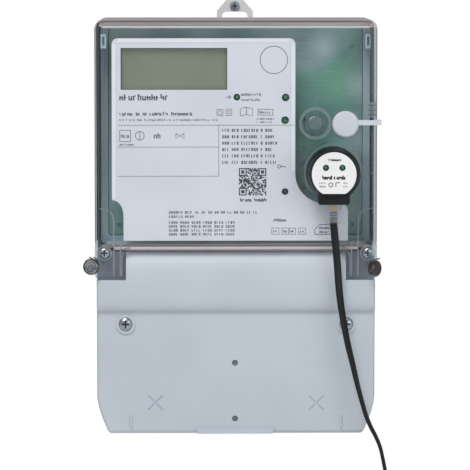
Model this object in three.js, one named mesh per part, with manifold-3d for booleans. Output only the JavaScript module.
// Wall-mounted three-phase electricity meter with a magnetic optical reading head on its port.
// Millimetres. X is right, Z is up, the front faces -Y and the back face lies in y = 0.
// The origin is the centre of the rear housing's back face, where the wall holds the meter.
import * as THREE from 'three';
import { mergeVertices } from 'three/addons/utils/BufferGeometryUtils.js';
import Module from 'manifold-3d';

const wasm = await Module();
wasm.setup();

// Driving dimensions.
const BODY_WIDTH = 170;
const BODY_HEIGHT = 250;
const HOOD_FRONT = -48;
const HOOD_BACK = -14;
const HOOD_BOTTOM = -14.6;
const WALL = 2;
const GAP = 0.3;
const HALF_WIDTH = BODY_WIDTH / 2;
const HALF_HEIGHT = BODY_HEIGHT / 2;
const CORNER = 6;
const EAR_BOTTOM = -31;
const EAR_INNER = 66.8;
const EAR_THICK = 3;
const EAR_SCREW = { x: 79, z: -15.5 };
const EAR_BOSS = 3;
const COVER_TOP = -15.2;
const COVER_FLAT = -46;
const COVER_ROLL = -50;
const COVER_CREASE = -51;
const ROLL_RISE = 14;
const COVER_SCREW = { x: 66.4, z: -58.6 };
const PLATE_FRONT = -45.5;
const BOARD_Y = -27;
const BOARD = { half: 76.5, bottom: -6, top: 119, thick: 1.6, postX: 70, postZ: [0, 108] };
const SHELF = { outer: 81.2, bottom: HOOD_BOTTOM + 3.2, top: 122 };
const PORT = { x: 58.1, z: 32.6 };
const BUTTON = { x: 47.5, z: 62.3 };
const CAP = { x: 65.5, z: 61.8 };
const DISPLAY = { left: -69, right: -5.2, bottom: 82.3, top: 107.3 };
const LIGHTS = [
  { name: 'pulse_light', x: 0.6, z: 77.9, radius: 1.7 },
  { name: 'upper_status_light', x: 29.8, z: 77.7, radius: 2 },
  { name: 'lower_status_light', x: 29.5, z: 64.1, radius: 2 },
  { name: 'light_sensor', x: 29.5, z: 21.2, radius: 1.7 },
];
const HEAD_RADIUS = 16;
const HEAD_DEPTH = 17;
const CORD_RADIUS = 2.25;
const COIL = { x: 62, y: -60, z: -189, inner: 18.6, outer: 31.6, width: 9.8 };

// ---- shape helpers -------------------------------------------------------------------------

function solid(geometry) {
  const bare = geometry.index ? geometry.toNonIndexed() : geometry.clone();
  bare.deleteAttribute('normal');
  bare.deleteAttribute('uv');
  const merged = mergeVertices(bare, 1e-4);
  return new wasm.Manifold(new wasm.Mesh({
    numProp: 3,
    vertProperties: new Float32Array(merged.attributes.position.array),
    triVerts: new Uint32Array(merged.index.array),
  }));
}

function geometryOf(body) {
  const mesh = body.getMesh();
  const geometry = new THREE.BufferGeometry();
  geometry.setAttribute('position', new THREE.BufferAttribute(mesh.vertProperties, 3));
  geometry.setIndex(new THREE.BufferAttribute(mesh.triVerts, 1));
  return geometry;
}

// An outline in X and Z, pushed from yBack forwards to yFront.
function frontPrism(shape, yBack, yFront, curveSegments = 8) {
  const depth = yBack - yFront;
  const geometry = new THREE.ExtrudeGeometry(shape, { depth, bevelEnabled: false, curveSegments });
  geometry.rotateX(Math.PI / 2);
  geometry.translate(0, yBack, 0);
  return solid(geometry);
}

// The same with a rounded edge of the given size at the front and the back.
function roundedPrism(shape, yBack, yFront, edge, curveSegments = 8) {
  const geometry = new THREE.ExtrudeGeometry(shape, {
    depth: yBack - yFront - 2 * edge,
    bevelThickness: edge,
    bevelSize: edge,
    bevelOffset: -edge,
    bevelSegments: 2,
    curveSegments,
  });
  geometry.rotateX(Math.PI / 2);
  geometry.translate(0, yBack - edge, 0);
  return solid(geometry);
}

// An outline in Y and Z, pushed along X.
function sidePrism(shape, xLow, xHigh, curveSegments = 8) {
  const depth = xHigh - xLow;
  const geometry = new THREE.ExtrudeGeometry(shape, { depth, bevelEnabled: false, curveSegments });
  const turn = new THREE.Matrix4().makeBasis(
    new THREE.Vector3(0, 1, 0),
    new THREE.Vector3(0, 0, 1),
    new THREE.Vector3(1, 0, 0),
  );
  geometry.applyMatrix4(turn);
  geometry.translate(xLow, 0, 0);
  return solid(geometry);
}

function box(xLow, xHigh, yBack, yFront, zLow, zHigh) {
  const geometry = new THREE.BoxGeometry(xHigh - xLow, yBack - yFront, zHigh - zLow);
  geometry.translate((xLow + xHigh) / 2, (yBack + yFront) / 2, (zLow + zHigh) / 2);
  return solid(geometry);
}

function rod(x, z, radius, yBack, yFront, sides = 20) {
  const geometry = new THREE.CylinderGeometry(radius, radius, yBack - yFront, sides);
  geometry.translate(x, (yBack + yFront) / 2, z);
  return solid(geometry);
}

// A round piece about an axis along -Y: the profile lists [radius, distance in front of yBack].
function turned(profile, x, z, yBack, sides = 28) {
  const points = profile.map(([radius, ahead]) => new THREE.Vector2(radius, -ahead));
  const geometry = new THREE.LatheGeometry(points.reverse(), sides);
  geometry.translate(x, yBack, z);
  return solid(geometry);
}

function ring(x, z, inner, outer, yBack, yFront, sides = 28) {
  return rod(x, z, outer, yBack, yFront, sides)
    .subtract(rod(x, z, inner, yBack + 1, yFront - 1, sides));
}

function roundedRect(left, right, bottom, top, radius) {
  const shape = new THREE.Shape();
  shape.moveTo(left + radius, bottom);
  shape.lineTo(right - radius, bottom);
  shape.absarc(right - radius, bottom + radius, radius, -Math.PI / 2, 0, false);
  shape.lineTo(right, top - radius);
  shape.absarc(right - radius, top - radius, radius, 0, Math.PI / 2, false);
  shape.lineTo(left + radius, top);
  shape.absarc(left + radius, top - radius, radius, Math.PI / 2, Math.PI, false);
  shape.lineTo(left, bottom + radius);
  shape.absarc(left + radius, bottom + radius, radius, Math.PI, 1.5 * Math.PI, false);
  return shape;
}

function tube(points, radius, sides, steps, closed = false) {
  const path = new THREE.CatmullRomCurve3(points.map((p) => new THREE.Vector3(...p)), closed);
  const section = new THREE.Shape();
  for (let i = 0; i < sides; i += 1) {
    const angle = (2 * Math.PI * i) / sides;
    const [u, v] = [radius * Math.cos(angle), radius * Math.sin(angle)];
    if (i === 0) section.moveTo(u, v);
    else section.lineTo(u, v);
  }
  return solid(new THREE.ExtrudeGeometry(section, { steps, extrudePath: path, bevelEnabled: false }));
}

const meter = new THREE.Group();

function add(name, body, colour, roughness, metalness = 0, opacity = 1) {
  const material = new THREE.MeshStandardMaterial({
    color: colour, roughness, metalness, opacity, transparent: opacity < 1,
  });
  const mesh = new THREE.Mesh(geometryOf(body), material);
  mesh.name = name;
  meter.add(mesh);
}

// ---- rear housing --------------------------------------------------------------------------

const HOUSING_HALF = 84;
const TAPER = { start: -103, bend: -112, step: 4, run: 5.4, foot: 9 };

// The body seen from the front: straight sides that taper at the lower corners. A square top has corner 0.
function bodyOutline(halfWidth, topEdge, topCorner, inset) {
  const half = halfWidth - inset;
  const low = -HALF_HEIGHT + inset;
  const top = topCorner ? topEdge - inset : topEdge;
  const corner = topCorner ? Math.max(topCorner - inset, 0.8) : 0;
  const shape = new THREE.Shape();
  shape.moveTo(-half, top - corner);
  shape.lineTo(-half, TAPER.start);
  shape.quadraticCurveTo(-half + 1.2, TAPER.bend, -half + TAPER.run, low + TAPER.step);
  shape.quadraticCurveTo(-half + TAPER.run + 1.2, low, -half + TAPER.foot, low);
  shape.lineTo(half - TAPER.foot, low);
  shape.quadraticCurveTo(half - TAPER.run - 1.2, low, half - TAPER.run, low + TAPER.step);
  shape.quadraticCurveTo(half - 1.2, TAPER.bend, half, TAPER.start);
  shape.lineTo(half, top - corner);
  if (corner) {
    shape.absarc(half - corner, top - corner, corner, 0, Math.PI / 2, false);
    shape.lineTo(-half + corner, top);
    shape.absarc(-half + corner, top - corner, corner, Math.PI / 2, Math.PI, false);
  }
  return shape;
}

const TRAY = { wall: 2.2, floor: 2.4, rimDepth: 9, rimHeight: 13.6, sideHeight: 38 };
const EYE = { half: 10.9, neck: 129, topHalf: 5, top: 138.4, thick: 2.4, bottom: 92 };

// A frame round the board, as deep as its front, with a slotted snap post in each upper corner.
function boardShelf() {
  const play = 0.4;
  const { outer, bottom, top } = SHELF;
  const front = BOARD_Y - BOARD.thick / 2;
  const room = roundedRect(
    -BOARD.half - play, BOARD.half + play, BOARD.bottom - play, BOARD.top + play, 2 + play,
  );
  let shelf = frontPrism(roundedRect(-outer, outer, bottom, top, 3), -TRAY.rimHeight + 0.6, front, 4)
    .subtract(frontPrism(room, 1, -60, 3));
  const post = { inner: 77.6, outer: 81, low: 107, high: 115.6, front: -43 };
  const slot = { inner: 78.6, outer: 80, low: 108.6, high: 114, depth: 3 };
  for (const side of [-1, 1]) {
    const [low, high] = [side * post.inner, side * post.outer].sort((a, b) => a - b);
    const [slotLow, slotHigh] = [side * slot.inner, side * slot.outer].sort((a, b) => a - b);
    shelf = shelf.add(box(low, high, front + 1, post.front, post.low, post.high));
    shelf = shelf.subtract(box(
      slotLow, slotHigh, post.front + slot.depth, post.front - 1, slot.low, slot.high,
    ));
  }
  return shelf;
}

function rearHousing() {
  let body = roundedPrism(bodyOutline(HOUSING_HALF, HALF_HEIGHT, CORNER, 0), 0, -TRAY.rimDepth, 0.8, 5);
  const inset = 2.8;
  body = body.add(frontPrism(
    bodyOutline(HOUSING_HALF, HALF_HEIGHT, CORNER, inset), -TRAY.rimDepth + 1, -TRAY.rimHeight, 5,
  ));
  const hollow = inset + TRAY.wall;
  const inside = bodyOutline(HOUSING_HALF, HALF_HEIGHT, CORNER, hollow);
  body = body.subtract(frontPrism(inside, -TRAY.floor, -30, 4));
  // Partition between the sealed meter room and the terminal room.
  body = body.add(box(-78, 78, -TRAY.floor + 0.4, -36, HOOD_BOTTOM + 3.2, HOOD_BOTTOM + 5.4));
  // Bosses for the ear screws and the terminal cover screws.
  for (const side of [-1, 1]) {
    body = body.add(rod(side * EAR_SCREW.x, EAR_SCREW.z, EAR_BOSS, -TRAY.floor + 0.4, -42, 16));
    body = body.subtract(rod(side * EAR_SCREW.x, EAR_SCREW.z, 2.2, -38, -50, 16));
    body = body.add(rod(side * COVER_SCREW.x, COVER_SCREW.z, 4.2, -TRAY.floor + 0.4, -30, 16));
  }
  // Four posts that carry the circuit board.
  for (const x of [-BOARD.postX, BOARD.postX]) {
    for (const z of BOARD.postZ) {
      body = body.add(rod(x, z, 3, -TRAY.floor + 0.4, BOARD_Y + BOARD.thick / 2 + GAP, 12));
    }
  }
  body = body.add(boardShelf());
  // Channel in the back and slot in the top wall for the sliding hanging eye.
  const play = 0.4;
  body = body.add(box(-15, 15, -TRAY.floor + 0.4, -6.2, 86, HALF_HEIGHT - hollow + 1));
  body = body.subtract(box(-EYE.half - play, EYE.half + play, 1, -EYE.thick - 1.3, 88, HALF_HEIGHT + 5));
  // Two lower fixing holes in the terminal room.
  for (const side of [-1, 1]) {
    body = body.subtract(rod(side * 52, -112, 2.6, 1, -8, 16));
  }
  return body;
}
add('rear_housing', rearHousing(), 0xb9bdc2, 0.55);

// ---- hanging eye and its screw --------------------------------------------------------------

const EYE_WINDOW = { half: 7.85, bottom: 112, top: 128.5 };
const EYE_SCREW = { z: 131.9, radius: 2.9, shank: 1.7 };

function hangingEye() {
  const shape = new THREE.Shape();
  shape.moveTo(-EYE.half, EYE.bottom);
  shape.lineTo(EYE.half, EYE.bottom);
  shape.lineTo(EYE.half, EYE.neck);
  shape.lineTo(EYE.topHalf, EYE.top - 2.5);
  shape.quadraticCurveTo(EYE.topHalf - 1, EYE.top, EYE.topHalf - 3.2, EYE.top);
  shape.lineTo(-EYE.topHalf + 3.2, EYE.top);
  shape.quadraticCurveTo(-EYE.topHalf + 1, EYE.top, -EYE.topHalf, EYE.top - 2.5);
  shape.lineTo(-EYE.half, EYE.neck);
  const window = new THREE.Shape();
  window.moveTo(-EYE_WINDOW.half, EYE_WINDOW.bottom);
  window.lineTo(EYE_WINDOW.half, EYE_WINDOW.bottom);
  window.lineTo(EYE_WINDOW.half, EYE_WINDOW.top - 3);
  window.quadraticCurveTo(EYE_WINDOW.half, EYE_WINDOW.top, EYE_WINDOW.half - 3.5, EYE_WINDOW.top);
  window.lineTo(-EYE_WINDOW.half + 3.5, EYE_WINDOW.top);
  window.quadraticCurveTo(-EYE_WINDOW.half, EYE_WINDOW.top, -EYE_WINDOW.half, EYE_WINDOW.top - 3);
  return frontPrism(shape, -0.5, -0.5 - EYE.thick, 6)
    .subtract(frontPrism(window, 1, -6, 6))
    .subtract(rod(0, EYE_SCREW.z, EYE_SCREW.shank + GAP, 1, -6, 16));
}
add('hanging_eye', hangingEye(), 0xc9c9cc, 0.5);

// A pan-head screw along -Y with a cross recess.
function crossScrew(x, z, headBack, headRadius, headHeight, shankRadius, shankBack) {
  const profile = [
    [0, 0], [headRadius, 0], [headRadius, headHeight * 0.45],
    [headRadius * 0.75, headHeight * 0.85], [headRadius * 0.3, headHeight], [0, headHeight],
  ];
  let body = turned(profile, x, z, headBack, 16);
  body = body.add(rod(x, z, shankRadius, shankBack, headBack - headHeight * 0.3, 12));
  const arm = headRadius * 0.62;
  const slit = headRadius * 0.13;
  const recessBack = headBack - headHeight * 0.35;
  body = body.subtract(box(x - arm, x + arm, recessBack, headBack - headHeight - 1, z - slit, z + slit));
  return body.subtract(box(x - slit, x + slit, recessBack, headBack - headHeight - 1, z - arm, z + arm));
}
const EYE_FACE = -0.5 - EYE.thick - 0.1;
add('hanging_screw', crossScrew(0, EYE_SCREW.z, EYE_FACE, EYE_SCREW.radius, 2, EYE_SCREW.shank, -0.2),
  0xb8babd, 0.35, 0.8);

// ---- clear meter cover ----------------------------------------------------------------------

const LIP = { half: 80, depth: 3, top: 3.2, bottom: 2.2 };
const ARCH = { foot: EAR_BOTTOM + 1.6, springing: 3, inner: 73.7, top: 10.9, width: 0.8, height: 0.45 };

// One half of an arch seen from the front. The rib between two of them edges the ear screw's column.
function archShape(side, grow) {
  const shape = new THREE.Shape();
  const inner = side * (ARCH.inner - grow);
  const outer = side * (HALF_WIDTH - 3);
  const top = ARCH.top + grow;
  shape.moveTo(outer, ARCH.foot);
  shape.lineTo(outer, top);
  shape.quadraticCurveTo(inner, top, inner, ARCH.springing);
  shape.lineTo(inner, ARCH.foot);
  return shape;
}

function archRib(side) {
  return frontPrism(archShape(side, ARCH.width), HOOD_FRONT + 0.5, HOOD_FRONT - ARCH.height, 8)
    .subtract(frontPrism(archShape(side, 0), 0, -60, 8));
}

const HOOD_HALF = HALF_WIDTH - 0.3;
const HOOD_TOP = HALF_HEIGHT - 0.4;
const HOOD_EDGE = 2.6;
const CAP_RECESS = 9;
const BUTTON_HOLE = 4.4;
const SEAL_HOLE = { inset: 4.4, z: -21 };
const EAR_RIB = 69;

function meterCover() {
  const shell = roundedRect(-HOOD_HALF, HOOD_HALF, HOOD_BOTTOM, HOOD_TOP, CORNER);
  const hollow = roundedRect(
    -HOOD_HALF + WALL, HOOD_HALF - WALL, HOOD_BOTTOM + WALL, HOOD_TOP - WALL, CORNER - WALL,
  );
  const behind = HOOD_BACK + 12;
  let body = roundedPrism(shell, behind, HOOD_FRONT, HOOD_EDGE, 5)
    .subtract(box(-100, 100, behind + 1, HOOD_BACK, -60, 160))
    .subtract(frontPrism(hollow, 1, HOOD_FRONT + WALL, 5));
  // Ears that reach down over the terminal cover's upper corners.
  for (const side of [-1, 1]) {
    const low = Math.min(side * EAR_INNER, side * HOOD_HALF);
    const high = Math.max(side * EAR_INNER, side * HOOD_HALF);
    const ear = roundedRect(low, high, EAR_BOTTOM, HOOD_BOTTOM + 6, 2.4);
    body = body.add(frontPrism(ear, HOOD_FRONT + EAR_THICK, HOOD_FRONT, 4));
    body = body.subtract(rod(side * EAR_SCREW.x, EAR_SCREW.z, 2.3, -30, -60, 16));
    body = body.subtract(rod(side * EAR_SCREW.x, EAR_SCREW.z, EAR_BOSS + 0.4, -1, -42.4, 20));
    body = body.add(ring(side * EAR_SCREW.x, EAR_SCREW.z, 3.6, 4.8, HOOD_FRONT + 0.5, HOOD_FRONT - 0.7, 20));
    body = body.subtract(rod(side * (HOOD_HALF - SEAL_HOLE.inset), SEAL_HOLE.z, 1, -30, -60, 12));
    body = body.add(archRib(side));
    const ribLow = Math.min(side * EAR_RIB, side * (EAR_RIB + ARCH.width));
    body = body.add(box(ribLow, ribLow + ARCH.width, HOOD_FRONT + 0.5, HOOD_FRONT - ARCH.height,
      ARCH.foot, HOOD_BOTTOM + 5));
  }
  // Thick lips along the top and bottom edges, inside the front.
  const lipBack = HOOD_FRONT + WALL + LIP.depth;
  const lipFront = HOOD_FRONT + WALL - 0.4;
  body = body.add(box(-LIP.half, LIP.half, lipBack, lipFront,
    HOOD_TOP - WALL - LIP.top, HOOD_TOP - WALL + 0.4));
  body = body.add(box(-LIP.half, LIP.half, lipBack, lipFront,
    HOOD_BOTTOM + WALL - 0.4, HOOD_BOTTOM + WALL + LIP.bottom));
  // Moulded ring round the optical port, bezel of the call button and recess of the round cap.
  body = body.add(ring(
    PORT.x, PORT.z, HEAD_RADIUS + 0.5, HEAD_RADIUS + 1.6, HOOD_FRONT + 0.5, HOOD_FRONT - 0.8, 40,
  ));
  body = body.add(ring(BUTTON.x, BUTTON.z, 7.9, 9.8, HOOD_FRONT + 0.5, HOOD_FRONT - 1, 32));
  body = body.subtract(rod(BUTTON.x, BUTTON.z, BUTTON_HOLE + GAP, -30, -60, 24));
  body = body.add(ring(CAP.x, CAP.z, 8.4, CAP_RECESS, HOOD_FRONT + 0.5, HOOD_FRONT - 0.6, 32));
  body = body.subtract(rod(CAP.x, CAP.z, 4.4, -30, -60, 24));
  // Guide block for the cap's strap on the right wall.
  body = body.add(box(78, HOOD_HALF - 0.4, HOOD_FRONT + 0.5, HOOD_FRONT - 1.6, 65.6, 75.2));
  return body;
}
add('meter_cover', meterCover(), 0xaebfc4, 0.12, 0, 0.35);

// Soft gasket between the rear housing's rim and the clear cover.
function coverGasket() {
  const outer = roundedRect(-HOOD_HALF + 0.3, HOOD_HALF - 0.3, HOOD_BOTTOM + 0.3, HOOD_TOP - 0.3, CORNER - 1);
  const inner = roundedRect(-81.6, 81.6, HOOD_BOTTOM + 1.5, HALF_HEIGHT - 3.4, 3);
  return frontPrism(outer, -9.6, HOOD_BACK + GAP, 5)
    .subtract(frontPrism(roundedRect(-82.5, 82.5, -140, HALF_HEIGHT - 2.5, CORNER - 1.8), 1, -30, 5))
    .add(frontPrism(outer, HOOD_BACK + 1.4, HOOD_BACK + GAP, 5)
      .subtract(frontPrism(roundedRect(-82.5, 82.5, HOOD_BOTTOM + 1.5, HALF_HEIGHT - 2.5, 4), 1, -30, 5))
      .subtract(box(-82.6, 82.6, 1, -30, -30, 20)))
    .subtract(frontPrism(inner, 1, -30, 4))
    .subtract(box(-90, 90, 1, -30, -40, HOOD_BOTTOM + 4));
}
add('cover_gasket', coverGasket(), 0x50555a, 0.8);

// ---- nameplate, display and board ------------------------------------------------------------

const PLATE = {
  left: -74.4, right: 35.6, top: 113.1, bottom: -8.3, corner: 3.6, notch: { x: -67.5, z: 5.8 },
  bay: { x: 53.2, z: 31.8, radius: 17.6 }, far: 67.3, shelf: 14.2, shelfCorner: 4.9,
};

function plateShape() {
  const shape = new THREE.Shape();
  const { left, right, top, bottom, corner, notch, bay, far, shelf, shelfCorner } = PLATE;
  shape.moveTo(left + corner, top);
  shape.absarc(left + corner, top - corner, corner, Math.PI / 2, Math.PI, false);
  shape.lineTo(left, notch.z + 10.5);
  shape.quadraticCurveTo(notch.x, notch.z + 9.5, notch.x, notch.z);
  shape.lineTo(notch.x, bottom);
  shape.lineTo(far, bottom);
  shape.lineTo(far, shelf - shelfCorner);
  shape.absarc(far - shelfCorner, shelf - shelfCorner, shelfCorner, 0, Math.PI / 2, false);
  shape.lineTo(bay.x, shelf);
  shape.absarc(bay.x, bay.z, bay.radius, 1.5 * Math.PI, Math.PI, true);
  shape.lineTo(right, top - corner);
  shape.absarc(right - corner, top - corner, corner, 0, Math.PI / 2, false);
  return shape;
}

function nameplate() {
  let body = frontPrism(plateShape(), PLATE_FRONT + 1.2, PLATE_FRONT, 8);
  body = body.subtract(box(DISPLAY.left, DISPLAY.right, -30, -60, DISPLAY.bottom, DISPLAY.top));
  for (const light of LIGHTS) {
    body = body.subtract(rod(light.x, light.z, light.radius + 0.35, -30, -60, 20));
  }
  return body;
}
add('nameplate', nameplate(), 0xd6dbe3, 0.45);

const DISPLAY_BACK = BOARD_Y - 1.8;
add('display_frame', box(DISPLAY.left - 3, DISPLAY.right + 3, DISPLAY_BACK, PLATE_FRONT + 1.6,
  DISPLAY.bottom - 3, DISPLAY.top + 3)
  .subtract(box(DISPLAY.left - 0.6, DISPLAY.right + 0.6, DISPLAY_BACK - 8, -60, DISPLAY.bottom - 0.6,
    DISPLAY.top + 0.6)), 0x4a5048, 0.6);
add('display_glass', box(DISPLAY.left - 0.3, DISPLAY.right + 0.3, DISPLAY_BACK - 8.2, PLATE_FRONT + 2.4,
  DISPLAY.bottom - 0.3, DISPLAY.top + 0.3), 0x7c8773, 0.2);

function mainBoard() {
  const { half, bottom, top, thick, postX, postZ } = BOARD;
  let body = frontPrism(
    roundedRect(-half, half, bottom, top, 2), BOARD_Y + thick / 2, BOARD_Y - thick / 2, 3,
  );
  for (const x of [-postX, postX]) {
    for (const z of postZ) body = body.subtract(rod(x, z, 1.6, -10, -40, 12));
  }
  return body.subtract(rod(PORT.x, PORT.z, 3.2, -10, -40, 16));
}
add('main_board', mainBoard(), 0x5f8a7c, 0.6);

for (const light of LIGHTS) {
  const profile = [
    [0, 0], [light.radius, 0], [light.radius, 15.2], [light.radius * 0.6, 16.6], [0, 17],
  ];
  add(light.name, turned(profile, light.x, light.z, BOARD_Y - 1, 14), 0x2c6a48, 0.2);
}

// Two fibre posts under the port carry the infrared light through the cover.
add('port_steel_ring', ring(PORT.x, PORT.z, 8.6, 13.2, HOOD_FRONT + WALL + 2.2, HOOD_FRONT + WALL + 0.3, 32),
  0x9aa0a4, 0.35, 0.9);
add('port_light_guide', rod(PORT.x, PORT.z, 2.8, BOARD_Y - 1, HOOD_FRONT + WALL + 0.3, 16), 0xc8d4d8, 0.15);

// Power supply and measuring parts on the board's back and in front of it.
add('power_transformer', roundedPrism(roundedRect(-48, -16, 34, 62, 1.5), BOARD_Y + 17, BOARD_Y + 1, 0.8, 3),
  0x3a3d42, 0.6);
add('smoothing_capacitor', rod(4, 48, 6, BOARD_Y + 18, BOARD_Y + 1, 20), 0x2b3036, 0.4);
add('backup_cell', rod(34, 92, 8, BOARD_Y + 6.5, BOARD_Y + 1, 24), 0xb4b7ba, 0.3, 0.8);
for (let i = 0; i < 3; i += 1) {
  add(`current_transformer_${i + 1}`, ring(-50 + i * 36, 10, 5.5, 12, BOARD_Y + 14, BOARD_Y + 1.2, 20),
    0x35506b, 0.6);
}

// ---- call button and its spring ---------------------------------------------------------------

const BUTTON_TRAVEL = 1.2;
add('call_button', turned([
  [0, 0], [1.6, 0], [1.6, 7], [6.2, 7], [6.2, 8.6], [BUTTON_HOLE, 8.6], [BUTTON_HOLE, 11.4],
  [BUTTON_HOLE - 0.7, 12], [0, 12.3],
], BUTTON.x, BUTTON.z, HOOD_FRONT + 10.9), 0xb9c9cc, 0.3);
function buttonSpring() {
  const points = [];
  const turns = 4;
  const perTurn = 10;
  const top = HOOD_FRONT + 4.3;
  const bottom = BOARD_Y - 1.4;
  for (let i = 0; i <= turns * perTurn; i += 1) {
    const angle = (2 * Math.PI * i) / perTurn;
    const along = i / (turns * perTurn);
    points.push([
      BUTTON.x + 3.4 * Math.cos(angle), bottom + (top - bottom) * along, BUTTON.z + 3.4 * Math.sin(angle),
    ]);
  }
  return tube(points, 0.35, 5, 48);
}
add('button_spring', buttonSpring(), 0xa9adb0, 0.3, 0.9);

// ---- round cap with its strap -----------------------------------------------------------------

const STRAP = { low: 61.2, high: 64.3, end: 87 };
function sealCap() {
  let body = turned([
    [0, -4.2], [3.4, -4.2], [3.4, 0.15], [7.9, 0.15], [7.9, 2.1], [7.1, 2.8], [0, 3],
  ], CAP.x, CAP.z, HOOD_FRONT - 0.05, 32);
  body = body.add(box(CAP.x + 7, STRAP.end, HOOD_FRONT - 0.8, HOOD_FRONT - 2.2, STRAP.low, STRAP.high));
  return body.add(box(HOOD_HALF + 0.5, STRAP.end, HOOD_FRONT + 5, HOOD_FRONT - 2.2, STRAP.low, STRAP.high));
}
add('seal_cap', sealCap(), 0xe3e6ea, 0.4);

// ---- ear screws, wires and seals --------------------------------------------------------------

const SEAL = {
  left: { x: -86.8, y: -51, z: -23.4, tilt: 0, colour: 0xb7babc, metal: 0.7 },
  right: { x: 83, y: -54.4, z: -24.4, tilt: 0.9, colour: 0x2b211c, metal: 0 },
};
for (const [name, side] of [['left', -1], ['right', 1]]) {
  add(`${name}_ear_screw`, crossScrew(side * EAR_SCREW.x, EAR_SCREW.z, HOOD_FRONT - 0.1, 3.1, 1.9, 1.9,
    HOOD_FRONT + 5.2), 0xc3c6c8, 0.3, 0.8);
  const seal = SEAL[name];
  const hole = side * (HOOD_HALF - SEAL_HOLE.inset);
  const front = seal.y + 0.4;
  const loop = seal.z + 5.7;
  add(`${name}_seal_wire`, tube([
    [seal.x - side * 1.2, front, loop], [hole + side * 0.9, HOOD_FRONT - 1.7, SEAL_HOLE.z + 0.7],
    [hole, HOOD_FRONT, SEAL_HOLE.z], [hole, HOOD_FRONT + EAR_THICK + 0.2, SEAL_HOLE.z],
    [hole + side * 1.6, HOOD_FRONT + EAR_THICK + 1.2, -20.6],
    [side * (HOOD_HALF + 1.2), HOOD_FRONT + EAR_THICK + 0.6, -19.6],
    [side * (HOOD_HALF + 1.6), HOOD_FRONT + 1, -19], [seal.x + side * 0.9, front, loop],
  ], 0.4, 5, 22), 0xa4a6a8, 0.35, 0.9);
  const disc = new THREE.LatheGeometry([
    [0, -2.3], [3.9, -2.3], [4.9, -1.5], [4.9, 1.5], [3.9, 2.3], [3.2, 1.8], [0, 1.8],
  ].map(([radius, along]) => new THREE.Vector2(radius, along)), 24);
  disc.rotateZ(side * seal.tilt);
  disc.translate(seal.x, seal.y, seal.z);
  add(`${name}_seal`, solid(disc), seal.colour, 0.4, seal.metal);
}

// ---- terminal cover ---------------------------------------------------------------------------

const COVER_HALF = 83.6;
const COVER_BACK = -14.2;
const COVER_EDGE = 2.2;

// The cover seen from the side: a rolled top, a crease and a flat lower front.
function coverSide(inset) {
  const low = -HALF_HEIGHT + inset;
  const shape = new THREE.Shape();
  shape.moveTo(COVER_BACK + (inset ? 2 : 0), COVER_TOP + (inset ? 2 : 0));
  shape.lineTo(COVER_BACK + (inset ? 2 : 0), low);
  shape.lineTo(COVER_FLAT + 3 + inset, low);
  shape.quadraticCurveTo(COVER_FLAT + inset, low, COVER_FLAT + inset, low + 3);
  shape.lineTo(COVER_FLAT + inset, COVER_CREASE - inset * 0.4);
  shape.quadraticCurveTo(COVER_ROLL + inset, COVER_CREASE, COVER_ROLL + inset, COVER_CREASE + ROLL_RISE);
  shape.quadraticCurveTo(COVER_ROLL + inset, COVER_TOP - 5, -42 + inset, COVER_TOP + (inset ? 2 : 0));
  return shape;
}

// The cover's outside: the side view cut to the front outline, with soft front edges at both depths.
function coverOutside() {
  const outline = bodyOutline(COVER_HALF, COVER_TOP, 0, 0);
  const flat = roundedPrism(outline, 0, COVER_FLAT, COVER_EDGE, 5);
  const roll = roundedPrism(outline, 0, COVER_ROLL, COVER_EDGE, 5)
    .intersect(box(-100, 100, 1, -70, COVER_CREASE, COVER_TOP + 1));
  return sidePrism(coverSide(0), -100, 100, 7).intersect(flat.add(roll));
}

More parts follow.
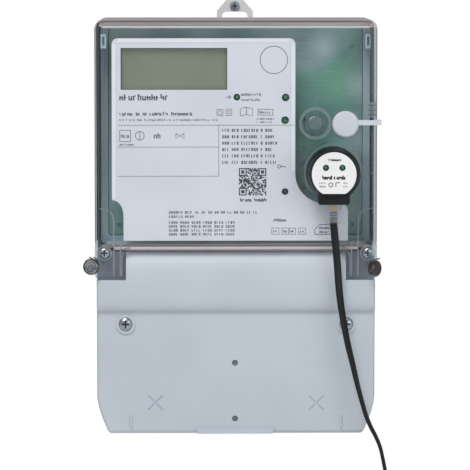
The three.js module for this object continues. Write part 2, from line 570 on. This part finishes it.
function terminalCover() {
  const outer = coverOutside();
  const inner = sidePrism(coverSide(WALL), -100, 100, 7)
    .intersect(frontPrism(bodyOutline(COVER_HALF, COVER_TOP, 0, WALL), 1, -70, 5).add(box(
      -COVER_HALF + WALL, COVER_HALF - WALL, 1, -70, COVER_TOP - 6, COVER_TOP + 9,
    )));
  let body = outer.subtract(inner);
  // Corner recesses that the clear cover's ears lie over.
  for (const side of [-1, 1]) {
    const low = Math.min(side * (EAR_INNER - 0.8), side * 100);
    const high = Math.max(side * (EAR_INNER - 0.8), side * 100);
    body = body.subtract(box(low, high, HOOD_FRONT + EAR_THICK + 4.6, -70, EAR_BOTTOM - 0.8, COVER_TOP + 1));
    const inLow = Math.min(side * (EAR_INNER - 2.6), side * COVER_HALF);
    const inHigh = Math.max(side * (EAR_INNER - 2.6), side * COVER_HALF);
    const panel = HOOD_FRONT + EAR_THICK + 6.4;
    body = body.add(box(inLow, inHigh, panel, panel - 1.8, EAR_BOTTOM - 2.4, COVER_TOP));
    body = body.add(box(inLow, inHigh, panel, COVER_ROLL + 1.6, EAR_BOTTOM - 2.4, EAR_BOTTOM - 0.8));
    const cheek = side * (EAR_INNER - 1.7);
    body = body.add(box(cheek - 0.9, cheek + 0.9, panel, -43.4, EAR_BOTTOM - 2, COVER_TOP));
    // Notch for the rear housing's ear boss.
    const notchLow = Math.min(side * (EAR_SCREW.x - EAR_BOSS - 0.6), side * 100);
    const notchHigh = Math.max(side * (EAR_SCREW.x - EAR_BOSS - 0.6), side * 100);
    body = body.subtract(box(notchLow, notchHigh, 1, -70, EAR_SCREW.z - EAR_BOSS - 0.6, COVER_TOP + 1));
    // Screw boss with its ring on the front.
    const { x, z } = COVER_SCREW;
    body = body.add(ring(side * x, z, 4.2, 5.8, COVER_FLAT + 0.5, COVER_FLAT - 0.9, 24));
    body = body.subtract(rod(side * x, z, 2.4, -30, -60, 16));
    // Small guide ridge above the lower edge.
    const ridge = side * 63.2;
    body = body.add(box(ridge - 0.5, ridge + 0.5, COVER_FLAT + 0.5, COVER_FLAT - 1.1, -121.4, -114));
  }
  // Drilling marks: a shallow cross beside each lower corner.
  for (const [x, z] of [[-48.6, -106.2], [48.4, -106.5]]) {
    for (const turn of [-1, 1]) {
      const bar = new THREE.BoxGeometry(12, 1, 0.9);
      bar.rotateY((turn * Math.PI) / 4);
      bar.translate(x, COVER_FLAT, z);
      body = body.subtract(solid(bar));
    }
  }
  // Two blind dimples on the centre line.
  for (const z of [-82.1, -115.9]) body = body.subtract(rod(-0.6, z, 1.8, COVER_FLAT + 1.2, -60, 16));
  // Thumb tab on the lower edge.
  return body.add(box(-23.4, 22.4, COVER_FLAT + 1.5, COVER_FLAT - 1.2, -HALF_HEIGHT, -HALF_HEIGHT + 3.4));
}
add('terminal_cover', terminalCover(), 0xb9c3cd, 0.5);
for (const [name, side] of [['left', -1], ['right', 1]]) {
  add(`${name}_cover_screw`, crossScrew(side * COVER_SCREW.x, COVER_SCREW.z, COVER_FLAT - 0.1, 3.9, 2.2, 2,
    -31), 0xc0c4c6, 0.3, 0.8);
}

// ---- terminals ----------------------------------------------------------------------------------

const TERMINAL = { count: 8, pitch: 15.6, bottom: -100, top: -62, back: -14, front: -35, screwZ: -76 };

function terminalX(index) {
  return (index - (TERMINAL.count - 1) / 2) * TERMINAL.pitch;
}

function terminalBlock() {
  const half = (TERMINAL.count * TERMINAL.pitch) / 2 - 1;
  let body = frontPrism(roundedRect(-half, half, TERMINAL.bottom - 4, TERMINAL.top + 3, 1.5), TERMINAL.back,
    TERMINAL.front, 3);
  for (let i = 0; i < TERMINAL.count; i += 1) {
    const x = terminalX(i);
    body = body.subtract(box(x - 5.8, x + 5.8, -17.4, -28.6, TERMINAL.bottom + 3, TERMINAL.top));
    body = body.subtract(box(x - 4.6, x + 4.6, -17.4, -26.6, TERMINAL.bottom - 5, TERMINAL.bottom + 4));
    body = body.subtract(rod(x, TERMINAL.screwZ, 3.4, -24, -40, 14));
  }
  return body.add(box(-half + 4, half - 4, -2.8, TERMINAL.back - 1, TERMINAL.top - 10, TERMINAL.top - 2));
}
add('terminal_block', terminalBlock(), 0x5a5f63, 0.6);

// Each clamp holds its own screw, tightened home.
for (let i = 0; i < TERMINAL.count; i += 1) {
  const x = terminalX(i);
  const clamp = box(x - 5.4, x + 5.4, -17.8, -28.2, TERMINAL.bottom + 3.4, TERMINAL.top - 0.4)
    .subtract(box(x - 4, x + 4, -18.8, -25.2, TERMINAL.bottom, TERMINAL.top - 6))
    .add(rod(x, TERMINAL.screwZ, 2.1, -22, -29, 10))
    .add(rod(x, TERMINAL.screwZ, 3.1, -28, -31.2, 12))
    .subtract(box(x - 2.6, x + 2.6, -30.2, -33, TERMINAL.screwZ - 0.4, TERMINAL.screwZ + 0.4));
  add(`terminal_clamp_${i + 1}`, clamp, 0xb9a05a, 0.35, 0.9);
}

// ---- optical reading head -------------------------------------------------------------------------

const HEAD_BACK = HOOD_FRONT - 0.3;
const HEAD_FRONT = HEAD_BACK - HEAD_DEPTH;
const LABEL_RADIUS = 13.8;
const HEAD_LIGHTS = [-4.9, 4.9];
const JACK = { x: 58.1, half: 9.5, low: 14.4, y: -57.4 };
const PLUG = { half: 4.83, thick: 3.3, low: 3.4 };

function headHousing() {
  let body = turned([
    [0, 0], [HEAD_RADIUS, 0], [HEAD_RADIUS, 11], [15.2, 14], [14.4, 16.4], [13.9, HEAD_DEPTH], [0, HEAD_DEPTH],
  ], PORT.x, PORT.z, HEAD_BACK, 40);
  body = body.add(roundedPrism(roundedRect(JACK.x - JACK.half, JACK.x + JACK.half, JACK.low, PORT.z, 1.4),
    HEAD_BACK - 1, HEAD_FRONT + 0.6, 0.9, 4));
  // Recess for the front disc, room inside for board and magnet, windows for the lights.
  body = body.subtract(rod(PORT.x, PORT.z, LABEL_RADIUS - 0.2, HEAD_FRONT + 0.7, -90, 40));
  body = body.subtract(rod(PORT.x, PORT.z, 12.8, HEAD_BACK + 1, HEAD_FRONT + 2.6, 24));
  for (const x of HEAD_LIGHTS) {
    body = body.subtract(rod(PORT.x + x, PORT.z + 4, 1.9, -50, -90, 16));
  }
  // Socket for the modular plug, open downwards.
  return body.subtract(box(JACK.x - PLUG.half - 0.35, JACK.x + PLUG.half + 0.35, JACK.y + PLUG.thick + 0.4,
    JACK.y - PLUG.thick - 0.4, JACK.low - 1, JACK.low + 4.6));
}
add('head_housing', headHousing(), 0x14191b, 0.45);

const LABEL_FACE = HEAD_FRONT + 0.4;
function headLabel() {
  const shape = new THREE.Shape();
  const flat = -11.5;
  const start = Math.asin(flat / (LABEL_RADIUS - 0.5));
  shape.absarc(0, 0, LABEL_RADIUS - 0.5, start, Math.PI - start, false);
  const geometry = new THREE.ExtrudeGeometry(shape, { depth: 0.6, bevelEnabled: false, curveSegments: 30 });
  geometry.rotateX(Math.PI / 2);
  geometry.translate(PORT.x, LABEL_FACE + 0.2, PORT.z);
  let body = solid(geometry);
  for (const x of HEAD_LIGHTS) {
    body = body.subtract(rod(PORT.x + x, PORT.z + 4, 1.9, -50, -90, 16));
  }
  return body;
}
add('head_label', headLabel(), 0xf2f2f2, 0.4);
for (const [name, x] of [['left', HEAD_LIGHTS[0]], ['right', HEAD_LIGHTS[1]]]) {
  add(`head_${name}_light`, turned([[0, 0], [1.6, 0], [1.6, 6.2], [1, 7], [0, 7.3]],
    PORT.x + x, PORT.z + 4, HEAD_FRONT + 7.1, 16), 0x2f7f4f, 0.2);
}
add('head_board', rod(PORT.x, PORT.z, 12.2, HEAD_FRONT + 8.9, HEAD_FRONT + 7.4, 28), 0x2f6b4a, 0.5);
add('head_magnet', ring(PORT.x, PORT.z, 7.6, 12.4, HEAD_BACK - 0.6, HEAD_BACK - 5, 32), 0xa7abae, 0.3, 0.9);
add('head_window', rod(PORT.x, PORT.z, 7, HEAD_BACK - 0.4, HEAD_BACK - 3, 28), 0x3a1518, 0.15);

// ---- modular plug ---------------------------------------------------------------------------------

function plugBody(x, y, low, high) {
  let body = roundedPrism(roundedRect(x - PLUG.half, x + PLUG.half, low, high, 0.5), y + PLUG.thick,
    y - PLUG.thick, 0.3, 2);
  // Contact slots on the front and the latch behind.
  for (let i = 0; i < 6; i += 1) {
    const at = x + (i - 2.5) * 1.02;
    body = body.subtract(box(at - 0.25, at + 0.25, y - PLUG.thick + 1.4, y - 10, high - 2.6, high + 1));
  }
  body = body.subtract(box(x - 2.7, x + 2.7, y + 1.6, y - 1.6, low - 1, low + 4));
  return body.add(box(x - 2, x + 2, y + PLUG.thick + 0.3, y + PLUG.thick - 0.4, low + 2, high - 5));
}

// The gold contacts, joined by the thin carrier strip behind them.
function plugContacts(x, y, high) {
  let body = box(x - 2.9, x + 2.9, y + 1.2, y + 0.8, high + 0.1, high + 0.6);
  for (let i = 0; i < 6; i += 1) {
    const at = x + (i - 2.5) * 1.02;
    body = body.add(box(at - 0.17, at + 0.17, y + 1.1, y - PLUG.thick + 0.4, high + 0.1, high + 0.6));
    const blade = y - PLUG.thick;
    body = body.add(box(at - 0.17, at + 0.17, blade + 1.2, blade + 0.1, high - 2.4, high + 0.5));
  }
  return body;
}
const PLUG_TOP = JACK.low + 3.4;
add('head_plug', plugBody(JACK.x, JACK.y, PLUG.low, PLUG_TOP), 0xc7ccca, 0.15, 0, 0.5);
add('head_plug_contacts', plugContacts(JACK.x, JACK.y, PLUG_TOP), 0xc9a24a, 0.3, 0.9);

// ---- cord -------------------------------------------------------------------------------------------

// The hanging stretch, from the plug's lower face to the coil.
const ROUTE = [
  [58.1, -57.4, 3.1], [58.7, -57.2, -3], [59.3, -56.9, -9], [60, -56.6, -16], [60.7, -56.4, -25],
  [61.4, -56.3, -34.7], [62.3, -56.3, -43], [63.3, -56.4, -50.3], [65.3, -56.6, -61.7],
  [67.3, -56.8, -71.5], [69.6, -57.1, -80.9], [71.8, -57.5, -90.5], [74.1, -57.9, -99.5],
  [77.7, -58.5, -112.1], [80.6, -59, -119.2], [83.6, -59.6, -125], [86.2, -60.2, -131.3],
  [87.8, -60.9, -138], [89.3, -61.6, -146], [90.6, -62, -154], [91.9, -62.3, -162], [92.8, -62.4, -169],
  [93.5, -62.4, -175],
];
add('cord_run', tube(ROUTE, CORD_RADIUS, 8, 36), 0x1e262c, 0.5);

function coilRing() {
  const half = COIL.width / 2;
  const geometry = new THREE.LatheGeometry([
    [COIL.inner, -half], [COIL.outer, -half], [COIL.outer, half], [COIL.inner, half], [COIL.inner, -half],
  ].map(([radius, along]) => new THREE.Vector2(radius, along)), 40);
  geometry.translate(COIL.x, COIL.y, COIL.z);
  return solid(geometry);
}
add('cord_coil', coilRing(), 0x1e262c, 0.5);

// A tie round the top of the coil's turns.
const MIDDLE = (COIL.inner + COIL.outer) / 2;
const TIE = { x: COIL.x, z: COIL.z + MIDDLE, half: 2.5, thick: 0.9, play: 0.5 };
function coilTie() {
  const high = (COIL.outer - COIL.inner) / 2 + TIE.play;
  const deep = COIL.width / 2 + TIE.play;
  const { x, z, half, thick } = TIE;
  const [back, front] = [COIL.y + deep + thick, COIL.y - deep - thick];
  return box(x - half, x + half, back, front, z - high - thick, z + high + thick)
    .subtract(box(x - half - 1, x + half + 1, COIL.y + deep, COIL.y - deep, z - high, z + high));
}
add('cord_tie', coilTie(), 0x23282c, 0.6);

const TAIL_X = COIL.x + COIL.outer + CORD_RADIUS + 0.5;
const TAIL_Y = COIL.y + 2.4;
const FAR_TOP = COIL.z - 14;
const TAIL_DRIFT = 0.6;
add('cord_tail', tube([
  [TAIL_X, TAIL_Y, COIL.z], [TAIL_X + 0.2, TAIL_Y, COIL.z - 4], [TAIL_X + 0.5, TAIL_Y, COIL.z - 9],
  [TAIL_X + TAIL_DRIFT, TAIL_Y, FAR_TOP + GAP],
], CORD_RADIUS, 8, 6), 0x1e262c, 0.5);

// The far plug points downwards, so it is the near plug turned over.
const FAR_X = TAIL_X + TAIL_DRIFT;
const PLUG_LENGTH = PLUG_TOP - PLUG.low;
function turnedOver(body) {
  return body.rotate([0, 180, 0]).translate([FAR_X, 0, FAR_TOP]);
}
add('far_plug', turnedOver(plugBody(0, TAIL_Y, 0, PLUG_LENGTH)), 0xc7ccca, 0.15, 0, 0.5);
add('far_plug_contacts', turnedOver(plugContacts(0, TAIL_Y, PLUG_LENGTH)), 0xc9a24a, 0.3, 0.9);

export default meter;
